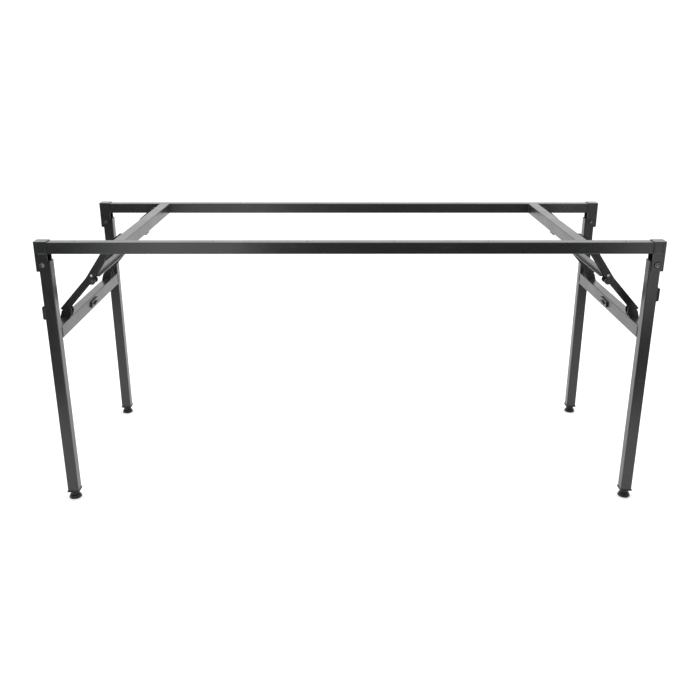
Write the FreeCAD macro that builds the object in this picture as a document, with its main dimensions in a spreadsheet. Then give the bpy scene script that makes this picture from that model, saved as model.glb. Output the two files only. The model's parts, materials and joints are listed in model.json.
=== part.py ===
"""Steel folding table frame: a rectangular top frame on two fold-in leg frames with locking braces.

Millimetres, +Z up. The origin is on the floor under the middle of the frame, +X along the frame
and +Y towards the rear. Pieces of a leg end are drawn on the left side, where +x is inboard, and
the right side is the same set turned half a turn about Z.
"""

import FreeCAD
import Part

import math
import os

import Sketcher

Vector = FreeCAD.Vector
Rotation = FreeCAD.Rotation
UP = Vector(0, 0, 1)
ACROSS = Vector(0, 1, 0)

SIZES = {
    # top frame
    "frame_length": 1600, "frame_width": 620, "frame_top": 732,
    "rail_size": 30, "tube_wall": 1.5, "rail_corner": 2,
    "cross_rail_x": 591,
    "screw_hole_radius": 2.6, "screw_hole_near": 110, "screw_hole_mid": 350, "screw_hole_far": 700,
    # corner bracket
    "bracket_sheet": 2, "bracket_reach": 32, "bracket_bottom": 657, "bracket_corner": 2.5,
    # hinge
    "hinge_x": 782, "hinge_z": 674, "hinge_bolt_radius": 4, "hinge_bore_radius": 4.06,
    "hinge_hole_radius": 4.1, "bolt_head_flats": 13, "bolt_head_height": 3.6, "bolt_nut_height": 6,
    "bolt_tip": 1.5, "washer_radius": 9, "washer_sheet": 0.8, "bush_radius": 6, "bush_hole_radius": 6.05,
    # leg frame
    "leg_x": 778, "leg_y": 295, "leg_wide_x": 30, "leg_wide_y": 28, "leg_bottom": 25, "leg_top": 682,
    "crossbar_x": 777, "crossbar_wide": 28, "crossbar_tall": 35, "crossbar_top": 503,
    "cap_sheet": 2, "plug_lip": 1.2, "plug_flange": 4, "plug_insert": 24, "plug_fit": 0.25,
    "left_bumper_z": 544.5, "right_bumper_z": 593, "bumper_tall": 37, "bumper_wide": 20,
    "bumper_thick": 7.5, "bumper_slope": 2,
    # levelling foot
    "foot_radius": 17, "foot_edge": 4, "foot_tall": 9, "foot_neck_radius": 12, "foot_neck_top": 18.5,
    "stud_radius": 4, "stud_bore_radius": 4.06, "stud_start": 5, "stud_end": 46,
    # folding brace
    "brace_y": 202.5, "brace_top_x": 642, "brace_top_z": 695, "brace_foot_x": 761, "brace_foot_z": 544,
    "knuckle_x": 692.436, "knuckle_z": 605.908,
    "channel_depth": 18, "pivot_depth": 9, "channel_sheet": 1.5, "lug_radius": 9,
    "upper_wide": 30, "lower_wide": 24, "link_gap": 0.6, "web_end": 1.6,
    "upper_web_start": 15, "upper_web_end": 38, "lower_web": 10,
    "lower_tail_inner": 24, "lower_tail_outer": 27.1,
    "rivet_radius": 3, "rivet_hole_radius": 3.06, "rivet_head_radius": 5, "rivet_head": 1.6,
    "flush_head": 0.7,
    "top_ear_sheet": 2.5, "top_ear_radius": 10, "top_ear_wide": 36, "top_ear_flat": 8, "top_ear_inset": 2,
    "foot_ear_sheet": 2, "foot_ear_radius": 7, "foot_ear_wide": 20, "foot_ear_bulge": 5,
    "release_rivet_along": 88, "release_bar_tall": 20, "release_bar_lip": 9, "release_bar_sheet": 2,
    "release_bar_gap": 0.1,
    # latch
    "clip_low_z": 474, "clip_high_z": 494, "clip_near_y": 26, "clip_far_y": 32, "clip_sheet": 1.6,
    "clip_reach": 5, "tab_x": 578.5, "tab_near_y": 51, "tab_long": 37, "tab_wide": 4, "tab_drop": 4,
}


class Size:
    """A length that is both a number and the spreadsheet expression that gives it."""

    def __init__(self, number, text):
        self.number = float(number)
        self.text = text

    def __add__(self, other):
        other = size(other)
        return Size(self.number + other.number, f"({self.text} + {other.text})")

    def __sub__(self, other):
        other = size(other)
        return Size(self.number - other.number, f"({self.text} - {other.text})")

    def __mul__(self, factor):
        factor = size(factor)
        return Size(self.number * factor.number, f"({self.text} * {factor.text})")

    def __truediv__(self, factor):
        factor = size(factor)
        return Size(self.number / factor.number, f"({self.text} / {factor.text})")

    def __neg__(self):
        return self * -1


def size(value):
    """A Size as it is, or a plain number as a Size."""
    return value if isinstance(value, Size) else Size(value, repr(float(value)))


def hypot(a, b):
    return Size(math.hypot(a.number, b.number), f"hypot({a.text}; {b.text})")


def root(a):
    return Size(math.sqrt(a.number), f"sqrt({a.text})")


doc = FreeCAD.newDocument("folding_table")
sheet = doc.addObject("Spreadsheet::Sheet", "Dims")
for row, (alias, number) in enumerate(SIZES.items(), start=1):
    sheet.set(f"A{row}", alias)
    sheet.set(f"B{row}", str(number))
    sheet.setAlias(f"B{row}", alias)
doc.recompute()


def dim(alias):
    """The Size that a spreadsheet cell holds."""
    return Size(sheet.get(alias), f"Dims.{alias}")


sub_parts = []
NONE = size(0)


# ---------------------------------------------------------------- drawing helpers

def bind(obj, prop, value):
    obj.setExpression(prop, size(value).text)


def sketch_on(body, role):
    sketch = body.newObject("Sketcher::SketchObject", f"{body.Name}_sketch")
    plane = [feature for feature in body.Origin.OriginFeatures if feature.Role == role][0]
    sketch.AttachmentSupport = [(plane, "")]
    sketch.MapMode = "FlatFace"
    return sketch


def pin_point(sketch, item, end, x, y):
    """Holds one point of a sketch at (x, y), each bound to the sheet."""
    for kind, value, axis in (("DistanceX", x, -2), ("DistanceY", y, -1)):
        value = size(value)
        if abs(value.number) < 1e-9:
            sketch.addConstraint(Sketcher.Constraint("PointOnObject", item, end, axis))
        else:
            index = sketch.addConstraint(Sketcher.Constraint(kind, item, end, value.number))
            bind(sketch, f"Constraints[{index}]", value)


def draw_polygon(sketch, corners):
    first = sketch.GeometryCount
    count = len(corners)
    points = [Vector(size(x).number, size(y).number, 0) for x, y in corners]
    for i in range(count):
        sketch.addGeometry(Part.LineSegment(points[i], points[(i + 1) % count]))
    for i in range(count):
        sketch.addConstraint(
            Sketcher.Constraint("Coincident", first + i, 2, first + (i + 1) % count, 1))
    for i, (x, y) in enumerate(corners):
        pin_point(sketch, first + i, 1, x, y)


def draw_circle(sketch, x, y, radius):
    item = sketch.addGeometry(Part.Circle(Vector(size(x).number, size(y).number, 0), UP, radius.number))
    index = sketch.addConstraint(Sketcher.Constraint("Radius", item, radius.number))
    bind(sketch, f"Constraints[{index}]", radius)
    pin_point(sketch, item, 3, x, y)


def block(low_x, high_x, low_y, high_y):
    """The four corners of an upright rectangle."""
    return [(low_x, low_y), (high_x, low_y), (high_x, high_y), (low_x, high_y)]


def centred(wide, tall):
    return block(-wide / 2, wide / 2, -tall / 2, tall / 2)


def feature(body, kind, role, width, outlines=(), circles=()):
    """A pad or pocket, symmetric about the body's plane, of one or more closed outlines."""
    sketch = sketch_on(body, role)
    for corners in outlines:
        draw_polygon(sketch, corners)
    for x, y, radius in circles:
        draw_circle(sketch, x, y, radius)
    made = body.newObject(f"PartDesign::{kind}", f"{body.Name}_{kind}")
    made.Profile = sketch
    made.SideType = "Symmetric"
    bind(made, "Length", width)
    return made


def add(body, role, width, outlines=(), circles=()):
    for corners in outlines:
        feature(body, "Pad", role, width, outlines=[corners])
    for circle in circles:
        feature(body, "Pad", role, width, circles=[circle])


def cut(body, role, width, outlines=(), circles=()):
    """Pockets that must remove material: the volume is compared before and after."""
    doc.recompute()
    before = body.Shape.Volume
    feature(body, "Pocket", role, width, outlines, circles)
    doc.recompute()
    if body.Shape.Volume > before - 1e-6:
        raise ValueError(f"{body.Label}: a pocket cuts nothing")


def new_body(label):
    body = doc.addObject("PartDesign::Body", label)
    body.Label = label
    return body


def round_edges(body, radius, keep):
    """Fillets the edges of the tip that keep(edge) picks."""
    doc.recompute()
    tip = body.Tip
    names = [f"Edge{i}" for i, edge in enumerate(tip.Shape.Edges, start=1) if keep(edge)]
    fillet = body.newObject("PartDesign::Fillet", f"{body.Name}_fillet")
    fillet.Base = (tip, names)
    bind(fillet, "Radius", radius)


def runs_along(axis, outside):
    """Picks straight edges parallel to an axis whose middle point lies outside the given half sizes."""
    def keep(edge):
        if edge.Curve.TypeId != "Part::GeomLine":
            return False
        direction = edge.tangentAt(edge.FirstParameter)
        middle = edge.CenterOfMass
        if abs(abs(direction.dot(axis)) - 1) > 1e-6:
            return False
        return all(abs(abs(getattr(middle, name)) - half) < 1e-3 for name, half in outside.items())
    return keep


def finish(obj, label, x=NONE, y=NONE, z=NONE, turn=0, tilt=0):
    """Names a sub-part and places it: turned about Z after it is tilted about Y."""
    obj.Label = label
    obj.Placement = FreeCAD.Placement(Vector(0, 0, 0), Rotation(UP, turn) * Rotation(ACROSS, tilt))
    for name, value in (("x", x), ("y", y), ("z", z)):
        bind(obj, f"Placement.Base.{name}", value)
    sub_parts.append(obj)


def cylinder(radius, height, x=NONE, y=NONE, z=NONE, axis=UP):
    obj = doc.addObject("Part::Cylinder", "cylinder")
    bind(obj, "Radius", radius)
    bind(obj, "Height", height)
    return stand(obj, x, y, z, axis)


def prism(flats, height, x=NONE, y=NONE, z=NONE, axis=UP):
    """A hexagonal prism of a given width across its flats."""
    obj = doc.addObject("Part::Prism", "prism")
    obj.Polygon = 6
    bind(obj, "Circumradius", size(flats) / math.sqrt(3))
    bind(obj, "Height", height)
    return stand(obj, x, y, z, axis)


def cone(low, high, height, x=NONE, y=NONE, z=NONE, axis=UP):
    obj = doc.addObject("Part::Cone", "cone")
    bind(obj, "Radius1", low)
    bind(obj, "Radius2", high)
    bind(obj, "Height", height)
    return stand(obj, x, y, z, axis)


def stand(obj, x, y, z, axis):
    obj.Placement = FreeCAD.Placement(Vector(0, 0, 0), Rotation(UP, axis))
    for name, value in (("x", x), ("y", y), ("z", z)):
        bind(obj, f"Placement.Base.{name}", value)
    return obj


def fuse(*shapes):
    obj = doc.addObject("Part::MultiFuse", "fused")
    obj.Shapes = list(shapes)
    return obj


def subtract(base, tool):
    obj = doc.addObject("Part::Cut", "cut")
    obj.Base = base
    obj.Tool = tool
    return obj


def group(shapes, label, turn=0):
    """Identical loose pieces in one node, each a solid of its own."""
    obj = doc.addObject("Part::Compound", "group")
    obj.Links = list(shapes)
    finish(obj, label, turn=turn)


# ---------------------------------------------------------------- named lengths

wall = dim("tube_wall")
rail = dim("rail_size")
sheet_steel = dim("bracket_sheet")
half_length = dim("frame_length") / 2
rail_y = (dim("frame_width") - rail) / 2
rail_z = dim("frame_top") - rail / 2
hinge_x = dim("hinge_x")
hinge_z = dim("hinge_z")
leg_x = dim("leg_x")
leg_y = dim("leg_y")
crossbar_z = dim("crossbar_top") - dim("crossbar_tall") / 2
brace_y = dim("brace_y")
upper_half = dim("upper_wide") / 2
lower_half = dim("lower_wide") / 2
top_ear_half = dim("top_ear_wide") / 2
channel_sheet = dim("channel_sheet")
rivet = dim("rivet_radius")
rivet_hole = dim("rivet_hole_radius")

BACK = Vector(0, 1, 0)
FRONT = Vector(0, -1, 0)
LEFT, RIGHT = "left", "right"
TURN = {LEFT: 0, RIGHT: 180}
INBOARD = {LEFT: 1, RIGHT: -1}


def side_ends(side):
    """The front and rear places of one side, with the sign of y in the left side's own frame."""
    return (("front", -INBOARD[side]), ("rear", INBOARD[side]))


def place(obj, label, side, x, y, z, tilt=0):
    """Places a piece given by its distance outboard, its y on the left side and its height."""
    finish(obj, label, x=-x * INBOARD[side], y=y * INBOARD[side], z=z, turn=TURN[side], tilt=tilt)


# ---------------------------------------------------------------- top frame

def long_rail(label, y):
    """A square tube with screw holes down through its top and bottom walls."""
    body = new_body(label)
    length = dim("frame_length") - sheet_steel * 2
    add(body, "YZ_Plane", length, [centred(rail, rail)])
    round_edges(body, dim("rail_corner"),
                runs_along(Vector(1, 0, 0), {"y": rail.number / 2, "z": rail.number / 2}))
    cut(body, "YZ_Plane", length + 1, [centred(rail - wall * 2, rail - wall * 2)])
    holes = [dim("screw_hole_near"), dim("screw_hole_mid"), dim("screw_hole_far")]
    radius = dim("screw_hole_radius")
    cut(body, "XY_Plane", rail + 1, circles=[(x * sign, NONE, radius) for x in holes for sign in (-1, 1)])
    finish(body, label, y=y, z=rail_z)


def cross_rail(side):
    """The short tube that joins the two long rails near one end."""
    body = new_body(f"{side}_cross_rail")
    length = rail_y * 2 - rail
    add(body, "XZ_Plane", length, [centred(rail, rail)])
    round_edges(body, dim("rail_corner"),
                runs_along(BACK, {"x": rail.number / 2, "z": rail.number / 2}))
    cut(body, "XZ_Plane", length + 1, [centred(rail - wall * 2, rail - wall * 2)])
    place(body, body.Label, side, dim("cross_rail_x"), NONE, rail_z)


def corner_bracket(side, end, sign):
    """A pressed cap over a rail's end: outer web, two cheeks and a top, open inboard and below."""
    body = new_body(f"{end}_{side}_corner_bracket")
    reach = dim("bracket_reach")
    low = dim("bracket_bottom") - hinge_z
    high = dim("frame_top") + sheet_steel - hinge_z
    pivot_in = half_length - hinge_x
    outer = -pivot_in
    wide = rail + sheet_steel * 2
    add(body, "XZ_Plane", wide, [block(outer, outer + reach, low, high)])
    round_edges(body, dim("bracket_corner"),
                runs_along(UP, {"x": pivot_in.number, "y": wide.number / 2}))
    cavity = block(outer + sheet_steel, outer + reach + 1, low - 1, high - sheet_steel)
    cut(body, "XZ_Plane", rail, [cavity])
    cut(body, "XZ_Plane", wide + 1, circles=[(NONE, NONE, dim("hinge_hole_radius"))])
    place(body, body.Label, side, hinge_x, leg_y * sign, hinge_z)


def hinge_hardware():
    """Each hinge bolt goes through both cheeks, with a nut inside and a washer each side of the leg."""
    bolts, nuts, washers = [], [], []
    shank = rail + sheet_steel * 2 + dim("bolt_nut_height") + dim("bolt_tip")
    cheek = rail / 2 + sheet_steel
    bore = dim("hinge_hole_radius")
    for side_sign in (-1, 1):
        for sign, outward in ((-1, FRONT), (1, BACK)):
            inward = outward * -1
            x = hinge_x * side_sign
            head_y = (leg_y + cheek) * sign
            bolts.append(fuse(
                prism(dim("bolt_head_flats"), dim("bolt_head_height"), x, head_y, hinge_z, outward),
                cylinder(dim("hinge_bolt_radius"), shank, x, head_y, hinge_z, inward)))
            nut_y = (leg_y - cheek) * sign
            nuts.append(subtract(
                prism(dim("bolt_head_flats"), dim("bolt_nut_height"), x, nut_y, hinge_z, inward),
                cylinder(bore, dim("bolt_nut_height") + 2, x, nut_y + size(sign), hinge_z, inward)))
            for face in (-1, 1):
                gap = (rail / 2 + dim("leg_wide_y") / 2 - dim("washer_sheet")) / 2
                washer_y = leg_y * sign + gap * face
                washers.append(subtract(
                    cylinder(dim("washer_radius"), dim("washer_sheet"), x, washer_y, hinge_z,
                             BACK * face),
                    cylinder(bore, dim("washer_sheet") + 2, x, washer_y - size(face), hinge_z,
                             BACK * face)))
    group(bolts, "hinge_bolts")
    group(nuts, "hinge_nuts")
    group(washers, "hinge_washers")


def brace_bracket(side, end, sign):
    """The clevis on a cross rail's outer face that holds a brace's top pivot."""
    body = new_body(f"{end}_{side}_brace_bracket")
    base = dim("brace_top_x") - dim("cross_rail_x") - rail / 2
    high = dim("frame_top") - dim("top_ear_inset") - dim("brace_top_z")
    low = dim("frame_top") - rail + dim("top_ear_inset") - dim("brace_top_z")
    radius = dim("top_ear_radius")
    bevel = radius / math.sqrt(2)
    ear = [(base, low), (base, high), (base - dim("top_ear_flat"), high), (-bevel, bevel),
           (bevel * 0.3, -radius)]
    add(body, "XZ_Plane", dim("top_ear_wide"), [ear], [(NONE, NONE, radius)])
    inside = block(-radius - 2, base - sheet_steel, -radius - 2, high + 2)
    cut(body, "XZ_Plane", dim("top_ear_wide") - dim("top_ear_sheet") * 2, [inside])
    cut(body, "XZ_Plane", dim("top_ear_wide") + 1, circles=[(NONE, NONE, rivet)])
    place(body, body.Label, side, dim("brace_top_x"), brace_y * sign, dim("brace_top_z"))


def stub_rivet(side, x, z, brace, face, inner, outer, head):
    """A rivet on one face of a brace, from inner to outer off its middle plane, headed outside."""
    direction = BACK * face * INBOARD[side]
    y = (brace + inner * face) * INBOARD[side]
    head_y = (brace + outer * face) * INBOARD[side]
    x = -x * INBOARD[side]
    return fuse(cylinder(rivet, outer - inner, x, y, z, direction),
                cone(dim("rivet_head_radius"), rivet, head, x, head_y, z, direction))


def brace_top_rivets():
    """Short rivets, one through each ear, that the upper links turn on."""
    rivets = []
    for side in (LEFT, RIGHT):
        for sign in (-1, 1):
            for face in (-1, 1):
                rivets.append(stub_rivet(
                    side, dim("brace_top_x"), dim("brace_top_z"), brace_y * sign, face,
                    upper_half - channel_sheet, top_ear_half, dim("rivet_head")))
    group(rivets, "brace_top_rivets")


def latch_tabs():
    """A strip under each cross rail, in front of the middle, beside where the folded end's clip comes."""
    tabs = []
    for side_sign in (-1, 1):
        tab = doc.addObject("Part::Box", "tab")
        bind(tab, "Length", dim("tab_wide"))
        bind(tab, "Width", dim("tab_long"))
        bind(tab, "Height", dim("tab_drop"))
        stand(tab, dim("tab_x") * side_sign - dim("tab_wide") / 2, -dim("tab_near_y"),
              dim("frame_top") - rail - dim("tab_drop"), UP)
        tabs.append(tab)
    group(tabs, "latch_tabs")


# ---------------------------------------------------------------- leg frame

def leg(side, end, sign):
    """A leg tube, bored across for the hinge bush a little outboard of its middle."""
    body = new_body(f"{end}_{side}_leg")
    wide_x = dim("leg_wide_x")
    wide_y = dim("leg_wide_y")
    length = dim("leg_top") - dim("leg_bottom")
    middle = (dim("leg_top") + dim("leg_bottom")) / 2
    add(body, "XY_Plane", length, [centred(wide_x, wide_y)])
    round_edges(body, dim("rail_corner"),
                runs_along(UP, {"x": wide_x.number / 2, "y": wide_y.number / 2}))
    cut(body, "XY_Plane", length + 1, [centred(wide_x - wall * 2, wide_y - wall * 2)])
    cut(body, "XZ_Plane", wide_y + 1,
        circles=[(leg_x - hinge_x, hinge_z - middle, dim("bush_hole_radius"))])
    place(body, body.Label, side, leg_x, leg_y * sign, middle)


def crossbar(side):
    """The tube between the two legs, flush with their inner faces."""
    body = new_body(f"{side}_crossbar")
    wide = dim("crossbar_wide")
    tall = dim("crossbar_tall")
    length = leg_y * 2 - dim("leg_wide_y")
    add(body, "XZ_Plane", length, [centred(wide, tall)])
    round_edges(body, dim("rail_corner"),
                runs_along(BACK, {"x": wide.number / 2, "z": tall.number / 2}))
    cut(body, "XZ_Plane", length + 1, [centred(wide - wall * 2, tall - wall * 2)])
    place(body, body.Label, side, dim("crossbar_x"), NONE, crossbar_z)


def leg_bushes(side):
    """Spacer tubes across the legs, on which they turn about the hinge bolts."""
    long = dim("leg_wide_y") - 0.4
    bushes = []
    for sign in (-1, 1):
        y = leg_y * sign - long / 2
        bushes.append(subtract(
            cylinder(dim("bush_radius"), long, -hinge_x, y, hinge_z, BACK),
            cylinder(dim("hinge_bore_radius"), long + 2, -hinge_x, y - 1, hinge_z, BACK)))
    group(bushes, f"{side}_leg_bushes", TURN[side])


def lidded_plug(side, sign, flange, lip, insert, top, bore):
    """A plastic plug: a flange over a tube's end and an insert inside it."""
    body = new_body(f"{side}_plug_{'front' if sign < 0 else 'rear'}")
    wide_x = dim("leg_wide_x")
    wide_y = dim("leg_wide_y")
    fit = (wall + dim("plug_fit")) * 2
    add(body, "XY_Plane", flange, [centred(wide_x + lip * 2, wide_y + lip * 2)])
    lowest, highest = (-insert, NONE) if top else (NONE, insert)
    shift = flange / 2
    add(body, "XZ_Plane", wide_y - fit,
        [block(-(wide_x - fit) / 2, (wide_x - fit) / 2, lowest - shift, highest + shift)])
    if bore:
        cut(body, "XY_Plane", insert * 4, circles=[(NONE, NONE, dim("stud_bore_radius"))])
    z = dim("leg_top") + flange / 2 if top else dim("leg_bottom") - flange / 2
    for name, value in (("x", -leg_x), ("y", leg_y * sign), ("z", z)):
        bind(body, f"Placement.Base.{name}", value)
    return body


def leg_caps(side):
    caps = [lidded_plug(side, sign, dim("cap_sheet"), NONE, size(1.5), True, False) for sign in (-1, 1)]
    group(caps, f"{side}_leg_caps", TURN[side])


def leg_end_plugs(side):
    plugs = [lidded_plug(side, sign, dim("plug_flange"), dim("plug_lip"), dim("plug_insert"), False, True)
             for sign in (-1, 1)]
    group(plugs, f"{side}_leg_end_plugs", TURN[side])


def foot_bracket(side, end, sign):
    """The clevis on a crossbar's top that holds a brace's bottom pivot."""
    body = new_body(f"{end}_{side}_foot_bracket")
    low = dim("crossbar_top") - dim("brace_foot_z")
    inner = dim("brace_foot_x") - dim("crossbar_x") + dim("crossbar_wide") / 2
    outer = inner - dim("crossbar_wide")
    radius = dim("foot_ear_radius")
    bulge = dim("foot_ear_bulge")
    ear = [(inner - 0.5, low), (bulge - 1, low + 13), (bulge, low + 19), (bulge - 1, low + 25),
           (NONE, low + 33), (NONE, NONE), (-radius, NONE), (-radius * 2, -radius * 2),
           (outer + 7, low + 20), (outer + 1, low)]
    add(body, "XZ_Plane", dim("foot_ear_wide"), [ear], [(NONE, NONE, radius)])
    inside = block(outer - 2, radius * 2, low + sheet_steel, radius + 2)
    cut(body, "XZ_Plane", dim("foot_ear_wide") - dim("foot_ear_sheet") * 2, [inside])
    cut(body, "XZ_Plane", dim("foot_ear_wide") + 1, circles=[(NONE, NONE, rivet)])
    place(body, body.Label, side, dim("brace_foot_x"), brace_y * sign, dim("brace_foot_z"))


def brace_foot_rivets(side):
    """Rivets across each foot bracket, with thin heads that pass inside the upper link."""
    rivets = []
    for sign in (-1, 1):
        x, z = -dim("brace_foot_x"), dim("brace_foot_z")
        low = brace_y * sign - lower_half
        high = brace_y * sign + lower_half
        rivets.append(fuse(
            cylinder(rivet, lower_half * 2, x, low, z, BACK),
            cylinder(dim("rivet_head_radius"), dim("flush_head"), x, low - dim("flush_head") - 0.05, z, BACK),
            cylinder(rivet, size(0.1), x, low - 0.08, z, BACK),
            cylinder(dim("rivet_head_radius"), dim("flush_head"), x, high + 0.05, z, BACK),
            cylinder(rivet, size(0.1), x, high - 0.02, z, BACK)))
    group(rivets, f"{side}_brace_foot_rivets", TURN[side])


def ribbon(corners):
    """A strip of spring steel that stands out inboard from a crossbar, drawn in the (y, z) plane."""
    half = dim("clip_sheet") / 2
    base = -(dim("crossbar_x") - dim("crossbar_wide") / 2)
    reach = dim("clip_reach")
    strips = []
    for (y1, z1), (y2, z2) in zip(corners, corners[1:]):
        run = Vector(0, y2.number - y1.number, z2.number - z1.number)
        strip = doc.addObject("Part::Box", "strip")
        bind(strip, "Length", reach)
        bind(strip, "Width", hypot(y2 - y1, z2 - z1))
        bind(strip, "Height", half * 2)
        strip.Placement = FreeCAD.Placement(Vector(0, 0, 0), Rotation(BACK, run))
        lift = strip.Placement.Rotation.multVec(Vector(0, 0, -half.number))
        for name, value in (("x", base), ("y", y1 + lift.y), ("z", z1 + lift.z)):
            bind(strip, f"Placement.Base.{name}", value)
        strips.append(strip)
        strips.append(cylinder(half, reach, base, y2, z2, Vector(1, 0, 0)))
    return fuse(*strips)


def latch_clip(side):
    """A spring clip on the crossbar's inner face: a long jaw with a hooked end, and a bent jaw."""
    low, high = dim("clip_low_z"), dim("clip_high_z")
    near, far = dim("clip_near_y"), dim("clip_far_y")
    hook = [(far, high), (-near + 2, high - 2), (-near - 1, low + 4)]
    bent = [(far - 2, high - 11), (near - 24, low + 6), (near - 11, low)]
    jaws = [ribbon([(y * INBOARD[side], z) for y, z in jaw]) for jaw in (hook, bent)]
    group(jaws, f"{side}_latch_clip", TURN[side])


def leg_bumpers(side):
    """Rubber blocks on the legs' outer faces."""
    bumpers = []
    for sign in (-1, 1):
        body = new_body(f"{side}_bumper_{'front' if sign < 0 else 'rear'}")
        thick = dim("bumper_thick")
        tall = dim("bumper_tall")
        slope = dim("bumper_slope")
        add(body, "XZ_Plane", dim("bumper_wide"),
            [[(NONE, -tall / 2), (NONE, tall / 2), (-thick, tall / 2 - slope), (-thick, -tall / 2 + slope)]])
        round_edges(body, size(1.5), runs_along(BACK, {"x": thick.number}))
        for name, value in (("x", -leg_x - dim("leg_wide_x") / 2), ("y", leg_y * sign),
                            ("z", dim(f"{side}_bumper_z"))):
            bind(body, f"Placement.Base.{name}", value)
        bumpers.append(body)
    group(bumpers, f"{side}_leg_bumpers", TURN[side])


# ---------------------------------------------------------------- folding braces

def link_axis(start_x, start_z, end_x, end_z):
    """Length from pivot to knuckle, along and off a channel's own axis, and the axis's tilt."""
    run = hypot(end_x - start_x, end_z - start_z)
    offset = dim("channel_depth") - dim("pivot_depth")
    along = root(run * run - offset * offset)
    return along, offset


KNUCKLE = (-dim("knuckle_x"), dim("knuckle_z"))
TOP_PIVOT = (-dim("brace_top_x"), dim("brace_top_z"))
FOOT_PIVOT = (-dim("brace_foot_x"), dim("brace_foot_z"))


def tilt_of(pivot, lean):
    """Degrees about +Y that turn a channel's local +x onto its axis, from pivot towards the knuckle."""
    along, offset = link_axis(*pivot, *KNUCKLE)
    straight = math.atan2(KNUCKLE[1].number - pivot[1].number, KNUCKLE[0].number - pivot[0].number)
    return -math.degrees(straight + lean * math.atan2(offset.number, along.number))


def upper_link(side, end, sign):
    """A channel with a lug at the knuckle and a web only near the middle.

    The lower link folds up through the open end of the web, and the foot bracket through the other.
    """
    body = new_body(f"{end}_{side}_upper_link")
    along, offset = link_axis(*TOP_PIVOT, *KNUCKLE)
    web, lip = -dim("pivot_depth"), dim("channel_depth") - dim("pivot_depth")
    wide = dim("upper_wide")
    tip = along - dim("web_end")
    add(body, "XZ_Plane", wide, [block(NONE, tip, web, lip)],
        [(NONE, NONE, dim("pivot_depth")), (along, offset, dim("lug_radius"))])
    inside = block(-offset - 2, along + offset + 2, web + channel_sheet, offset * 2 + 2)
    cut(body, "XZ_Plane", wide - channel_sheet * 2, [inside])
    slots = [(-offset - 2, dim("upper_web_start")), (dim("upper_web_end"), along + offset + 2)]
    for start, stop in slots:
        slot = block(start, stop, web - 2, web + channel_sheet * 2)
        cut(body, "XZ_Plane", dim("lower_wide") + dim("link_gap") * 2, [slot])
    cut(body, "XZ_Plane", wide + 1, circles=[(NONE, NONE, rivet_hole), (along, offset, rivet)])
    cut(body, "XZ_Plane", wide + 1, circles=[(dim("release_rivet_along"), NONE, rivet)])
    place(body, body.Label, side, dim("brace_top_x"), brace_y * sign, dim("brace_top_z"),
          tilt_of(TOP_PIVOT, -1))


def lower_link(side, end, sign):
    """A narrower channel that nests inside the upper one. Local +x runs from the foot pivot.

    Local +z is the web side. The tail is cut level with the crossbar.
    """
    body = new_body(f"{end}_{side}_lower_link")
    along, offset = link_axis(*FOOT_PIVOT, *KNUCKLE)
    web, lip = dim("pivot_depth"), dim("pivot_depth") - dim("channel_depth")
    wide = dim("lower_wide")
    tip = along - dim("web_end")
    outline = [(-dim("lower_tail_inner"), lip), (tip, lip), (tip, web), (-dim("lower_tail_outer"), web)]
    add(body, "XZ_Plane", wide, [outline], [(along, -offset, dim("lug_radius"))])
    inside = block(-dim("lower_tail_outer") - 2, along + offset + 2, -offset * 2 - 2, web - channel_sheet)
    cut(body, "XZ_Plane", wide - channel_sheet * 2, [inside])
    open_web = block(-dim("lower_tail_outer") - 2, dim("lower_web"), web - channel_sheet * 2, web + 2)
    cut(body, "XZ_Plane", wide - channel_sheet * 2, [open_web])
    cut(body, "XZ_Plane", wide + 1, circles=[(NONE, NONE, rivet_hole), (along, -offset, rivet)])
    place(body, body.Label, side, dim("brace_foot_x"), brace_y * sign, dim("brace_foot_z"),
          tilt_of(FOOT_PIVOT, 1))


def release_rivet_place():
    """Where the release bar's rivets cross the upper links, outboard distance and height."""
    lean = math.radians(-tilt_of(TOP_PIVOT, -1))
    reach = dim("release_rivet_along")
    return (dim("brace_top_x") - reach * math.cos(lean), dim("brace_top_z") + reach * math.sin(lean))


def release_bar(side):
    """An angle bar across the table between the two upper links, with an upright tab at each end."""
    body = new_body(f"{side}_release_bar")
    thick = dim("release_bar_sheet")
    tall = dim("release_bar_tall")
    length = (brace_y - upper_half - dim("release_bar_gap")) * 2
    low, high = -tall / 2, tall / 2
    upright = block(NONE, thick, low, high)
    lip = block(NONE, dim("release_bar_lip"), low, low + thick)
    add(body, "XZ_Plane", length, [upright, lip, block(-tall / 2, thick, low, high)])
    cut(body, "XZ_Plane", length - thick * 2, [block(-tall / 2 - 1, NONE, low - 1, high + 1)])
    cut(body, "XZ_Plane", length + 1, circles=[(-tall / 4, NONE, rivet)])
    x, z = release_rivet_place()
    place(body, body.Label, side, x - tall / 4, NONE, z)


def link_rivets(side):
    """The knuckle rivets and the release bar's rivets, all on the upper links."""
    rivets = []
    bar_x, bar_z = release_rivet_place()
    inner = upper_half - channel_sheet
    for sign in (-1, 1):
        brace = brace_y * sign
        for face in (-1, 1):
            rivets.append(stub_rivet(side, dim("knuckle_x"), dim("knuckle_z"), brace, face,
                                     inner, upper_half, dim("rivet_head")))
            if face == sign:
                rivets.append(stub_rivet(side, bar_x, bar_z, brace, face, inner, upper_half,
                                         dim("rivet_head")))
            else:
                tail = upper_half + dim("release_bar_gap") + dim("release_bar_sheet")
                rivets.append(stub_rivet(side, bar_x, bar_z, brace, face, inner, tail,
                                         dim("rivet_head")))
    group(rivets, f"{side}_link_rivets")


# ---------------------------------------------------------------- levelling feet

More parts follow.
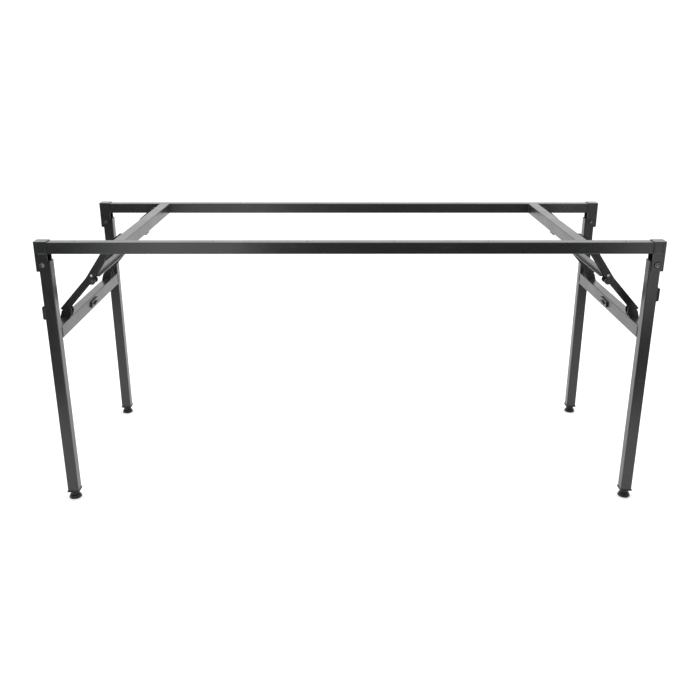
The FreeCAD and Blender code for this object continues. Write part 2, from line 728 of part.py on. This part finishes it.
def levelling_foot(side, end, sign):
    """A plastic pad on the lower end of a levelling stud."""
    x = -leg_x * INBOARD[side]
    y = leg_y * sign * INBOARD[side]
    edge, tall, neck_top = dim("foot_edge"), dim("foot_tall"), dim("foot_neck_top")
    pad = fuse(cylinder(dim("foot_radius"), edge, x, y, NONE),
               cone(dim("foot_radius"), dim("foot_neck_radius") + 3, tall - edge, x, y, edge),
               cylinder(dim("foot_neck_radius"), neck_top - tall, x, y, tall))
    bored = subtract(pad, cylinder(dim("stud_radius"), neck_top, x, y, dim("stud_start")))
    finish(bored, f"{end}_{side}_foot_pad")
    stud = cylinder(dim("stud_radius"), dim("stud_end") - dim("stud_start"))
    finish(stud, f"{end}_{side}_foot_stud", x, y, dim("stud_start"))


# ---------------------------------------------------------------- build, check and write

long_rail("front_rail", -rail_y)
long_rail("rear_rail", rail_y)
hinge_hardware()
brace_top_rivets()
latch_tabs()
for side in (LEFT, RIGHT):
    cross_rail(side)
    crossbar(side)
    leg_bushes(side)
    leg_caps(side)
    leg_end_plugs(side)
    leg_bumpers(side)
    latch_clip(side)
    brace_foot_rivets(side)
    release_bar(side)
    link_rivets(side)
    for end, sign in side_ends(side):
        corner_bracket(side, end, sign)
        leg(side, end, sign)
        brace_bracket(side, end, sign)
        foot_bracket(side, end, sign)
        upper_link(side, end, sign)
        lower_link(side, end, sign)
        levelling_foot(side, end, sign)

doc.recompute()
for obj in doc.Objects:
    if {"Invalid", "Error"} & set(obj.State):
        raise ValueError(f"{obj.Label}: {obj.State}")
for obj in sub_parts:
    if obj.Shape.isNull() or not obj.Shape.isValid() or obj.Shape.Volume <= 0:
        raise ValueError(f"{obj.Label}: bad shape")

os.makedirs("parts", exist_ok=True)
for obj in sub_parts:
    obj.Shape.exportStep(f"parts/{obj.Label}.step")
print(len(sub_parts), "sub-parts")
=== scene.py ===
"""Looks of the folding table frame: procedural finishes, turned hardware, welds, light and camera.

Metres, in the CAD frame: origin on the floor under the middle, +X along the frame, +Y to the rear.
"""

import json
import math

import bpy
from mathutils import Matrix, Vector


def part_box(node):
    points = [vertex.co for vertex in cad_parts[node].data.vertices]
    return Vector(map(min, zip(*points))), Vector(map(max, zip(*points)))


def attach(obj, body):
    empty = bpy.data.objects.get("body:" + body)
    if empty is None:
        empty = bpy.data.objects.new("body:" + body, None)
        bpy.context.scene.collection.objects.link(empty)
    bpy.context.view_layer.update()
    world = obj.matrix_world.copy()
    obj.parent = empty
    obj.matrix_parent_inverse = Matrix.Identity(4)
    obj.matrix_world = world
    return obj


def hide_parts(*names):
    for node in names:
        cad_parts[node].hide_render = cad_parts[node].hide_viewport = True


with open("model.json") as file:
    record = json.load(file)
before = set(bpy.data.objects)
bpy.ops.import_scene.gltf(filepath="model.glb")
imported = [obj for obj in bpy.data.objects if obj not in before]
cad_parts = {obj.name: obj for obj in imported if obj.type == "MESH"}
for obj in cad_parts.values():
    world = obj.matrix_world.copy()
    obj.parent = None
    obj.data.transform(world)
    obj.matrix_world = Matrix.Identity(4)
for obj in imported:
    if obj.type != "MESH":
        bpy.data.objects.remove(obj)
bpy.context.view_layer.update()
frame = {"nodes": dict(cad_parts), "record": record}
nodes = frame["nodes"]
scene = bpy.context.scene

MM = 0.001
SIDES = {"left": -1, "right": 1}
ENDS = {"front": -1, "rear": 1}
UP = Vector((0, 0, 1))
BACK = Vector((0, 1, 0))


# ---------------------------------------------------------------- materials

class Finish:
    """A procedural material around one Principled shader, with short helpers for its nodes."""

    def __init__(self, name, **sockets):
        self.material = bpy.data.materials.new(name)
        self.material.use_nodes = True
        self.tree = self.material.node_tree
        self.shader = self.tree.nodes["Principled BSDF"]
        for socket, value in sockets.items():
            self.shader.inputs[socket.replace("_", " ")].default_value = value
        self.place = self.tree.nodes.new("ShaderNodeTexCoord").outputs["Object"]

    def link(self, source, target):
        self.tree.links.new(source, target)
        return target

    def node(self, kind, **sockets):
        made = self.tree.nodes.new(kind)
        for socket, value in sockets.items():
            made.inputs[socket.replace("_", " ")].default_value = value
        return made

    def noise(self, scale, detail=2.0, stretch=None):
        """Noise in the object's own metres, optionally stretched along the axes."""
        made = self.node("ShaderNodeTexNoise", Scale=scale, Detail=detail)
        place = self.place
        if stretch:
            mapping = self.node("ShaderNodeMapping", Scale=stretch)
            self.link(place, mapping.inputs["Vector"])
            place = mapping.outputs["Vector"]
        self.link(place, made.inputs["Vector"])
        return made.outputs["Fac"]

    def pits(self, scale):
        made = self.node("ShaderNodeTexVoronoi", Scale=scale)
        self.link(self.place, made.inputs["Vector"])
        return made.outputs["Distance"]

    def remap(self, value, from_low, from_high, to_low, to_high):
        made = self.node("ShaderNodeMapRange", From_Min=from_low, From_Max=from_high,
                         To_Min=to_low, To_Max=to_high)
        self.link(value, made.inputs["Value"])
        return made.outputs["Result"]

    def blend(self, factor, first, second):
        """A colour between two, by a factor; each may be a colour or another node's output."""
        made = self.tree.nodes.new("ShaderNodeMix")
        made.data_type = "RGBA"
        self.link(factor, made.inputs["Factor"])
        for socket, colour in ((made.inputs[6], first), (made.inputs[7], second)):
            if isinstance(colour, tuple):
                socket.default_value = (*colour, 1)
            else:
                self.link(colour, socket)
        return made.outputs[2]

    def colour(self, output):
        self.link(output, self.shader.inputs["Base Color"])

    def roughness(self, output):
        self.link(output, self.shader.inputs["Roughness"])

    def bump(self, *layers):
        """Stacks (height, distance, strength) layers of relief."""
        normal = None
        for height, distance, strength in layers:
            made = self.node("ShaderNodeBump", Strength=strength, Distance=distance)
            self.link(height, made.inputs["Height"])
            if normal:
                self.link(normal, made.inputs["Normal"])
            normal = made.outputs["Normal"]
        self.link(normal, self.shader.inputs["Normal"])


def powder_coat(name, dark, light, rough, peel=0.25):
    """Sprayed powder: orange peel, a fine sparkle in the colour, and faint handling scuffs."""
    finish = Finish(name, IOR=1.5, Coat_Weight=0.1, Coat_Roughness=0.22)
    cloud = finish.remap(finish.noise(9, 3), 0.3, 0.7, 0, 0.6)
    speck = finish.remap(finish.noise(2600, 1), 0.42, 0.68, 0, 0.8)
    scuff = finish.remap(finish.noise(70, 6, (0.35, 1, 1)), 0.66, 0.8, 0, 0.7)
    base = finish.blend(cloud, dark, tuple(0.6 * a + 0.4 * b for a, b in zip(dark, light)))
    base = finish.blend(speck, base, light)
    paler = finish.blend(scuff, base, tuple(1.5 * channel for channel in light))
    finish.colour(paler)
    finish.roughness(finish.remap(finish.noise(12, 4), 0.3, 0.7, rough - 0.03, rough + 0.04))
    finish.bump((finish.noise(700, 2), 0.0004, peel), (finish.noise(2400, 1), 0.00012, peel))
    return finish.material


def plated_steel(name, bright, dull, rough):
    """Zinc plating: fine brushing, cloudy passivation and small pits."""
    finish = Finish(name, Metallic=0.92)
    cloud = finish.remap(finish.noise(160, 4), 0.38, 0.66, 0, 1)
    finish.colour(finish.blend(cloud, bright, dull))
    finish.roughness(finish.remap(finish.noise(420, 3), 0.3, 0.7, rough - 0.07, rough + 0.12))
    finish.bump((finish.noise(1900, 2, (1, 1, 6)), 0.00008, 0.3), (finish.pits(900), 0.00005, 0.12))
    return finish.material


def moulded(name, dark, light, rough, grain):
    """Moulded plastic or rubber with a spark-eroded grain and some pale dust."""
    finish = Finish(name, IOR=1.45, Specular_IOR_Level=0.35)
    cloud = finish.remap(finish.noise(60, 4), 0.35, 0.7, 0, 1)
    dust = finish.remap(finish.noise(500, 5), 0.6, 0.8, 0, 0.5)
    base = finish.blend(cloud, dark, light)
    finish.colour(finish.blend(dust, base, tuple(2.2 * channel for channel in light)))
    finish.roughness(finish.remap(finish.noise(240, 4), 0.3, 0.7, rough - 0.08, rough + 0.1))
    finish.bump((finish.pits(grain), 0.00012, 0.35), (finish.noise(90, 2), 0.0003, 0.15))
    return finish.material


FINISHES = {
    "frame_paint": powder_coat("frame_powder", (0.0095, 0.0105, 0.0105), (0.021, 0.022, 0.022), 0.29),
    "leg_paint": powder_coat("leg_powder", (0.0095, 0.0098, 0.0098), (0.020, 0.0205, 0.020), 0.31),
    "brace_paint": powder_coat("brace_powder", (0.0045, 0.0045, 0.005), (0.011, 0.011, 0.0115), 0.34),
    "release_paint": powder_coat("release_powder", (0.016, 0.017, 0.018), (0.034, 0.035, 0.036), 0.28),
    "bright_zinc": plated_steel("zinc_plate", (0.66, 0.67, 0.68), (0.40, 0.41, 0.42), 0.28),
    "black_zinc": plated_steel("black_zinc_plate", (0.10, 0.10, 0.105), (0.045, 0.045, 0.048), 0.30),
    "black_plastic": moulded("black_polymer", (0.006, 0.006, 0.007), (0.012, 0.012, 0.0125), 0.42, 2200),
    "black_rubber": moulded("black_rubber", (0.009, 0.009, 0.009), (0.015, 0.015, 0.015), 0.62, 1500),
    "black_spring": powder_coat("black_oxide", (0.004, 0.004, 0.0045), (0.009, 0.009, 0.0095), 0.36, 0.12),
}
WELD = powder_coat("weld_powder", (0.009, 0.0095, 0.010), (0.019, 0.019, 0.020), 0.36, 0.5)
# Lighter powder for the seam run along each corner bracket's sill: a painted highlight, as that run faces
# the light above.
PAINTED_HIGHLIGHT_SEAM = powder_coat("painted_highlight_seam_powder", (0.045, 0.046, 0.047), (0.09, 0.09, 0.09), 0.36, 0.5)
BOLT_ZINC = plated_steel("bolt_zinc", (0.20, 0.20, 0.205), (0.09, 0.09, 0.095), 0.30)

for part in frame["record"]["subparts"]:
    for material_slot in nodes[part["node"]].material_slots:
        material_slot.material = FINISHES[part["material_slot"]]


# ---------------------------------------------------------------- mesh helpers

class Mesh:
    """Collects closed surfaces, with points in the scene's metres, and makes one piece of them."""

    def __init__(self):
        self.points = []
        self.faces = []

    def rings(self, rings):
        """Skins a list of rings, each a list of points, and closes both ends."""
        first = len(self.points)
        count = len(rings[0])
        for ring in rings:
            self.points.extend(ring)
        for row in range(len(rings) - 1):
            low = first + row * count
            for i in range(count):
                j = (i + 1) % count
                self.faces.append((low + i, low + j, low + count + j, low + count + i))
        self.faces.append(tuple(range(first + count - 1, first - 1, -1)))
        last = first + (len(rings) - 1) * count
        self.faces.append(tuple(range(last, last + count)))

    def turned(self, profile, at, axis, steps, flats=None):
        """Turns a profile of (radius, height) in mm about an axis. flats cuts it to a hexagon."""
        turn = UP.rotation_difference(axis)
        rings = []
        for radius, height in profile:
            ring = []
            for i in range(steps):
                angle = math.tau * i / steps
                reach = radius
                if flats:
                    off_flat = (angle + math.pi / 6) % (math.pi / 3) - math.pi / 6
                    reach = min(radius, flats / 2 / math.cos(off_flat))
                spot = Vector((reach * math.cos(angle), reach * math.sin(angle), height)) * MM
                ring.append(at + turn @ spot)
            rings.append(ring)
        self.rings(rings)

    def bead(self, start, end, radius, ripple=1.6):
        """A weld run between two points: overlapping ripples that taper off at both ends."""
        run = end - start
        long = run.length / MM
        across = run.cross(UP if abs(run.normalized().z) < 0.9 else BACK).normalized()
        upward = run.cross(across).normalized()
        steps = max(12, int(long * 2.5))
        rings = []
        for step in range(steps + 1):
            along = step / steps
            phase = (along * long / ripple) % 1
            taper = min(1, 6 * along + 0.25, 6 * (1 - along) + 0.25)
            reach = radius * taper * (1 - 0.22 * phase) * MM
            middle = start + run * along
            rings.append([middle + (across * math.cos(turn) + upward * math.sin(turn)) * reach
                          for turn in (math.tau * i / 10 for i in range(10))])
        self.rings(rings)

    def make(self, name, body, slot, replaces=(), material=None, smooth=True):
        data = bpy.data.meshes.new(name)
        data.from_pydata([tuple(point) for point in self.points], [], self.faces)
        data.validate()
        data.update()
        data.materials.append(material or FINISHES[slot])
        made = bpy.data.objects.new(name, data)
        scene.collection.objects.link(made)
        if smooth:
            data.shade_smooth()
            sharp = made.modifiers.new("sharp_edges", "EDGE_SPLIT")
            sharp.split_angle = math.radians(38)
        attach(made, body)
        if replaces:
            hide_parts(*replaces)
        return made


def arc(radius, centre_r, centre_z, start, stop, steps=6):
    """Points of a rounded stretch of a profile, in degrees from +r towards +z."""
    angles = (math.radians(start + (stop - start) * i / steps) for i in range(steps + 1))
    return [(centre_r + radius * math.cos(a), centre_z + radius * math.sin(a)) for a in angles]


# ---------------------------------------------------------------- turned hardware

# Profiles are (radius, height) in mm.
BOLT_HEAD = [(6.2, 0), (6.3, 0.45), (7.51, 0.5), (7.51, 1.2), (7.4, 2.1), (7.0, 2.75), (6.35, 3.25),
             (4.9, 3.3), (4.3, 3.3), (3.9, 3.6), (0, 3.6)]
NUT = [(4.1, 0), (6.3, 0), (7.2, 0.5), (7.51, 1.0), (7.51, 5.0), (7.2, 5.5), (6.3, 6), (5.0, 6), (4.1, 5.2)]
# A thin dark disc under each bolt head: painted shade and grime round the head.
BOLT_SHADE_DISC = [(9, 0), (9, 0.35), (8.7, 0.45), (0.3, 0.45)]
HEX_FLATS = 13
M8_RADIUS = 4
M8_PITCH = 1.25
THREAD_START, THREAD_END, BOLT_TIP = 36, 40.6, 41.5


def hinge_hardware():
    """Chamfered heads outside the cheeks, each over a thin dark disc of painted shade and grime, nuts
    inside and threaded ends beyond them.
    """
    bolts, nuts, shade_discs = Mesh(), Mesh(), Mesh()
    low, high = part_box("front_left_corner_bracket")
    to_cheek = (high.y - low.y) / 2
    thread = thread_profile(THREAD_START, THREAD_END, M8_RADIUS, 0.35, M8_PITCH)
    shank = [(M8_RADIUS, -2), (M8_RADIUS, THREAD_START), *thread, (3.2, BOLT_TIP)]
    for side in SIDES:
        for low, high in loose_boxes(nodes[f"{side}_leg_bushes"]):
            centre = (low + high) / 2
            outward = BACK if centre.y > 0 else -BACK
            outside = centre + outward * to_cheek
            inside = centre - outward * to_cheek
            bolts.turned(BOLT_HEAD, outside, outward, 60, HEX_FLATS)
            bolts.turned(shank, outside, -outward, 32)
            # Painted shade and grime round the head, as a thin dark disc.
            shade_discs.turned(BOLT_SHADE_DISC, outside, outward, 40)
            nuts.turned(NUT, inside, -outward, 60, HEX_FLATS)
    bolts.make("hinge_bolts_turned", "top_frame", "black_zinc", ["hinge_bolts"], material=BOLT_ZINC)
    shade_discs.make("hinge_bolt_shade_discs", "top_frame", "black_rubber")
    nuts.make("hinge_nuts_turned", "top_frame", "black_zinc", ["hinge_nuts"])


def thread_profile(low, high, radius, depth, pitch):
    """Crests and roots of a thread along a profile, from low to high."""
    count = int((high - low) / pitch * 2)
    return [(radius - depth * (i % 2), low + (high - low) * i / count) for i in range(count + 1)]


RIVET_DOME = [(5.0, 0), (5.0, 0.35), (4.7, 0.8), (4.1, 1.2), (3.2, 1.48), (2.4, 1.58), (2.0, 1.5),
              (1.8, 1.15), (1.2, 1.0), (0.3, 0.98)]
RIVET_RADIUS = 3
RIVET_HEAD = 1.6


def domed_rivets(name, body, node, slot="black_zinc", wanted=lambda centre: True, spread=1):
    """Semi-tubular rivets in place of a node's plain ones, each found from its own loose solid."""
    rivets = Mesh()
    for low, high in loose_boxes(nodes[node]):
        centre = (low + high) / 2
        if not wanted(centre):
            continue
        outward = BACK if rivet_faces_back(centre) else -BACK
        face = (high.y if outward.y > 0 else low.y) - outward.y * RIVET_HEAD * MM
        at = Vector((centre.x, face, centre.z))
        length = (high.y - low.y) / MM - RIVET_HEAD
        shank = [(RIVET_RADIUS - 0.8, -length), (RIVET_RADIUS, -length + 0.5), (RIVET_RADIUS, 0)]
        dome = [(radius * spread, height) for radius, height in RIVET_DOME]
        rivets.turned([*shank, *dome], at, outward, 36)
    rivets.make(name, body, slot, [node])


def rivet_faces_back(centre):
    """True for a rivet on the rear face of its brace."""
    low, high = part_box("rear_left_upper_link" if centre.y > 0 else "front_left_upper_link")
    return centre.y > (low.y + high.y) / 2


def loose_boxes(node):
    """The corners of the box round each separate solid of a node."""
    data = node.data
    parent = list(range(len(data.vertices)))

    def top(i):
        while parent[i] != i:
            parent[i] = parent[parent[i]]
            i = parent[i]
        return i

    at = {}
    for vertex in data.vertices:
        key = tuple(round(value, 6) for value in vertex.co)
        parent[vertex.index] = at.setdefault(key, vertex.index)
    for edge in data.edges:
        a, b = (top(i) for i in edge.vertices)
        parent[a] = b
    solids = {}
    for vertex in data.vertices:
        solids.setdefault(top(vertex.index), []).append(vertex.co)
    boxes = []
    for points in solids.values():
        low = Vector(min(point[i] for point in points) for i in range(3))
        high = Vector(max(point[i] for point in points) for i in range(3))
        boxes.append((low, high))
    return boxes


# ---------------------------------------------------------------- levelling feet

PAD_PROFILE = [(14.5, 0), (15.8, 0.15), *arc(1.9, 15.1, 2.1, -60, 60), (16.1, 4.2), (15.3, 4.7),
               (15.0, 5.4), (15.0, 7.6), (14.5, 8.6), (13.6, 9.1), (11.0, 9.3)]
KNOB_PROFILE = [(10.4, 9.0), (11.5, 9.5), (12, 10.3), (12, 17.0), (11.4, 18.0), (10.2, 18.5), (4.6, 18.5),
                (4.2, 17.8)]
KNOB_FLATS = 21.6
STUD_THREAD_DEPTH = 0.5
ROWS_PER_TURN = 8


def levelling_foot(end, side):
    """A turned pad with a hexagonal collar, and the threaded stud that carries it."""
    body = f"{end}_{side}_foot"
    low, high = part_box(f"{body}_pad")
    base = Vector(((low.x + high.x) / 2, (low.y + high.y) / 2, low.z))
    pad = Mesh()
    pad.turned(PAD_PROFILE, base, UP, 64)
    pad.turned(KNOB_PROFILE, base, UP, 72, KNOB_FLATS)
    pad.make(f"{body}_pad_turned", body, "black_plastic", [f"{body}_pad"])
    low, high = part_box(f"{body}_stud")
    stud = Mesh()
    stud.rings(threaded_rings(base, low.z, high.z))
    stud.make(f"{body}_stud_threaded", body, "bright_zinc", [f"{body}_stud"], smooth=False)


def threaded_rings(centre, low, high, steps=36):
    """Rings up an M8 stud whose surface winds in a helix."""
    rows = int((high - low) / MM / M8_PITCH * ROWS_PER_TURN)
    rings = []
    for row in range(rows + 1):
        height = low + (high - low) * row / rows
        ring = []
        for i in range(steps):
            turn = i / steps
            phase = (height / MM / M8_PITCH - turn) % 1
            reach = (M8_RADIUS - STUD_THREAD_DEPTH * abs(2 * phase - 1)) * MM
            ring.append(Vector((centre.x + reach * math.cos(math.tau * turn),
                                centre.y + reach * math.sin(math.tau * turn), height)))
        rings.append(ring)
    return rings


# ---------------------------------------------------------------- welds

TUBE_CORNER = 2.5 * MM


def weld_box(mesh, node, at, edges):
    """Beads round a tube's end: the named edges of its cross-section, at one place along Y."""
    low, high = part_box(node)
    for edge in edges:
        if edge in ("low_x", "high_x"):
            x = low.x if edge == "low_x" else high.x
            start, stop = Vector((x, at, low.z + TUBE_CORNER)), Vector((x, at, high.z - TUBE_CORNER))
        else:
            z = low.z if edge == "low_z" else high.z
            start, stop = Vector((low.x + TUBE_CORNER, at, z)), Vector((high.x - TUBE_CORNER, at, z))
        mesh.bead(start, stop, 1.5)


def cap_seams(mesh, paler, node, side, end):
    """Fine seams on a corner bracket's cheek: two upright ones, and one along the rail in lighter paint, a
    painted highlight.
    """
    low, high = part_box(node)
    y = high.y if end > 0 else low.y
    outer = max(abs(low.x), abs(high.x)) - 9 * MM
    inner = outer - 20 * MM
    sill, head = high.z - 30.5 * MM, high.z - 4 * MM
    ripple = 0.9
    for x in (outer, inner):
        mesh.bead(Vector((x * side, y, head)), Vector((x * side, y, sill)), 0.8, ripple)
    # The run along the rail gets the lighter paint: a painted highlight on the run that faces the light
    # above.
    paler.bead(Vector((outer * side, y, sill)), Vector((inner * side, y, sill)), 1.1, ripple)


def brace_bracket_welds(mesh, node, side):
    """Runs above and below the plate of a brace bracket, along its cross rail."""
    low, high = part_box(node)
    x = high.x if side == "left" else low.x
    for z in (low.z, high.z):
        mesh.bead(Vector((x, low.y + 3 * MM, z)), Vector((x, high.y - 3 * MM, z)), 1.2)


def foot_bracket_welds(mesh, node, crossbar):
    """Runs along both sides of a foot bracket, across the crossbar's top."""
    low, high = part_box(node)
    bar_low, bar_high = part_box(crossbar)
    for y in (low.y, high.y):
        mesh.bead(Vector((bar_low.x + 4 * MM, y, low.z)), Vector((bar_high.x - 4 * MM, y, low.z)), 1.1)


def welds():
    """Cross rails to long rails, crossbars to legs, and the brace brackets to both."""
    # The second mesh holds the sill seams in lighter paint, a painted highlight.
    top, paler = Mesh(), Mesh()
    for side in SIDES:
        node = f"{side}_cross_rail"
        low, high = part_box(node)
        for at in (low.y, high.y):
            weld_box(top, node, at, ("low_x", "high_x", "low_z"))
        for end in ENDS:
            brace_bracket_welds(top, f"{end}_{side}_brace_bracket", side)
            cap_seams(top, paler, f"{end}_{side}_corner_bracket", SIDES[side], ENDS[end])
    top.make("top_frame_welds", "top_frame", "frame_paint", material=WELD)
    paler.make("corner_bracket_seams", "top_frame", "frame_paint", material=PAINTED_HIGHLIGHT_SEAM)
    for side in SIDES:
        mesh = Mesh()
        node = f"{side}_crossbar"
        low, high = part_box(node)
        for at in (low.y, high.y):
            weld_box(mesh, node, at, ("low_x", "high_x", "low_z", "high_z"))
        for end in ENDS:
            foot_bracket_welds(mesh, f"{end}_{side}_foot_bracket", node)
        mesh.make(f"{side}_leg_frame_welds", f"{side}_leg_frame", "leg_paint", material=WELD)


hinge_hardware()
domed_rivets("brace_top_rivets_domed", "top_frame", "brace_top_rivets")
for side in SIDES:
    brace, rivets = f"{side}_upper_brace", f"{side}_link_rivets"
    bar_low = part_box(f"{side}_release_bar")[0].z
    domed_rivets(f"{side}_knuckle_rivets_domed", brace, rivets,
                 wanted=lambda centre: centre.z < bar_low)
    domed_rivets(f"{side}_bar_rivets_domed", brace, rivets, "bright_zinc",
                 wanted=lambda centre: centre.z > bar_low, spread=0.72)
    for end in ENDS:
        levelling_foot(end, side)
welds()


# ---------------------------------------------------------------- floor, light and camera

FLOOR_SIZE = 60
FLOOR_DROP = 0.0004


def floor():
    """A pale, wide, slightly mottled floor."""
    bpy.ops.mesh.primitive_plane_add(size=FLOOR_SIZE, location=(0, 0, -FLOOR_DROP))
    made = bpy.context.object
    made.name = "studio_floor"
    finish = Finish("studio_floor", Roughness=0.9, Specular_IOR_Level=0.1)
    finish.colour(finish.blend(finish.noise(0.6, 2), (0.93, 0.93, 0.93), (0.96, 0.96, 0.96)))
    finish.bump((finish.noise(40, 2), 0.001, 0.02))
    made.data.materials.append(finish.material)


def sky():
    """Even white studio walls, a little brighter behind the object than on the camera's side."""
    world = bpy.data.worlds.new("studio")
    scene.world = world
    world.use_nodes = True
    tree = world.node_tree
    place = tree.nodes.new("ShaderNodeTexCoord")
    split = tree.nodes.new("ShaderNodeSeparateXYZ")
    tree.links.new(place.outputs["Generated"], split.inputs["Vector"])
    level = tree.nodes.new("ShaderNodeMapRange")
    for socket, value in (("From Min", -0.9), ("From Max", 0.5), ("To Min", 1.0), ("To Max", 1.3)):
        level.inputs[socket].default_value = value
    tree.links.new(split.outputs["Y"], level.inputs["Value"])
    tree.links.new(level.outputs["Result"], tree.nodes["Background"].inputs["Strength"])
    tree.nodes["Background"].inputs["Color"].default_value = (1, 1, 1, 1)


# Name, left, right, low and high edges, and glow strength of each card.
CARDS_Y = -0.95
CARDS = (
    ("flag_left", -2.4, -0.82, 0.02, 0.80, 0.0),
    ("flag_middle_high", -0.30, 0.92, 0.36, 0.80, 0.0),
    ("flag_middle_low", -0.14, 0.92, 0.02, 0.36, 0.0),
    ("flag_right_low", 0.92, 1.15, 0.02, 0.33, 0.0),
    ("flag_right", 1.15, 2.4, 0.02, 0.80, 0.0),
    ("glow_left", -0.80, -0.32, 0.10, 0.80, 1.75),
    ("glow_right", 0.94, 1.13, 0.35, 0.60, 2.0),
)


def reflector_cards():
    """Dark and bright cards in front of the object that only its gloss sees, as photographers use."""
    for name, left, right, low, high, glow in CARDS:
        finish = Finish(name, Roughness=1.0, Specular_IOR_Level=0.0, Emission_Strength=glow)
        finish.colour(finish.blend(finish.noise(8), (0.02, 0.02, 0.02), (0.03, 0.03, 0.03)))
        finish.shader.inputs["Emission Color"].default_value = (1, 1, 1, 1)
        data = bpy.data.meshes.new(name)
        corners = [(left, low), (right, low), (right, high), (left, high)]
        data.from_pydata([(x, CARDS_Y, z) for x, z in corners], [], [(0, 1, 2, 3)])
        data.materials.append(finish.material)
        card = bpy.data.objects.new(name, data)
        scene.collection.objects.link(card)
        card.visible_camera = False
        card.visible_diffuse = False
        card.visible_shadow = False


def softbox(name, at, target, size, power):
    """A rectangular area light at one place, aimed at another."""
    light = bpy.data.lights.new(name, "AREA")
    light.shape = "RECTANGLE"
    light.size, light.size_y = size
    light.energy = power
    made = bpy.data.objects.new(name, light)
    scene.collection.objects.link(made)
    made.location = at
    made.rotation_euler = (Vector(target) - Vector(at)).to_track_quat("-Z", "Y").to_euler()


CAMERA_AT = (-0.01737, -2.3296, 1.1642)
LENS = 41.76
LOOKS_DOWN = 19.62
ROLL, YAW = -0.078, -0.419


def camera():
    """A camera in front of the frame, above its top, with angles in degrees."""
    data = bpy.data.cameras.new("camera")
    data.sensor_width = 36
    data.lens = LENS
    data.clip_end = 100
    made = bpy.data.objects.new("camera", data)
    scene.collection.objects.link(made)
    made.location = CAMERA_AT
    made.rotation_euler = (math.radians(90 - LOOKS_DOWN), math.radians(ROLL), math.radians(YAW))
    scene.camera = made


floor()
sky()
reflector_cards()
softbox("overhead_softbox", (0, 0.4, 3.2), (0, 0, 0.4), (4.5, 3.0), 55)
camera()
scene.view_settings.view_transform = "Standard"
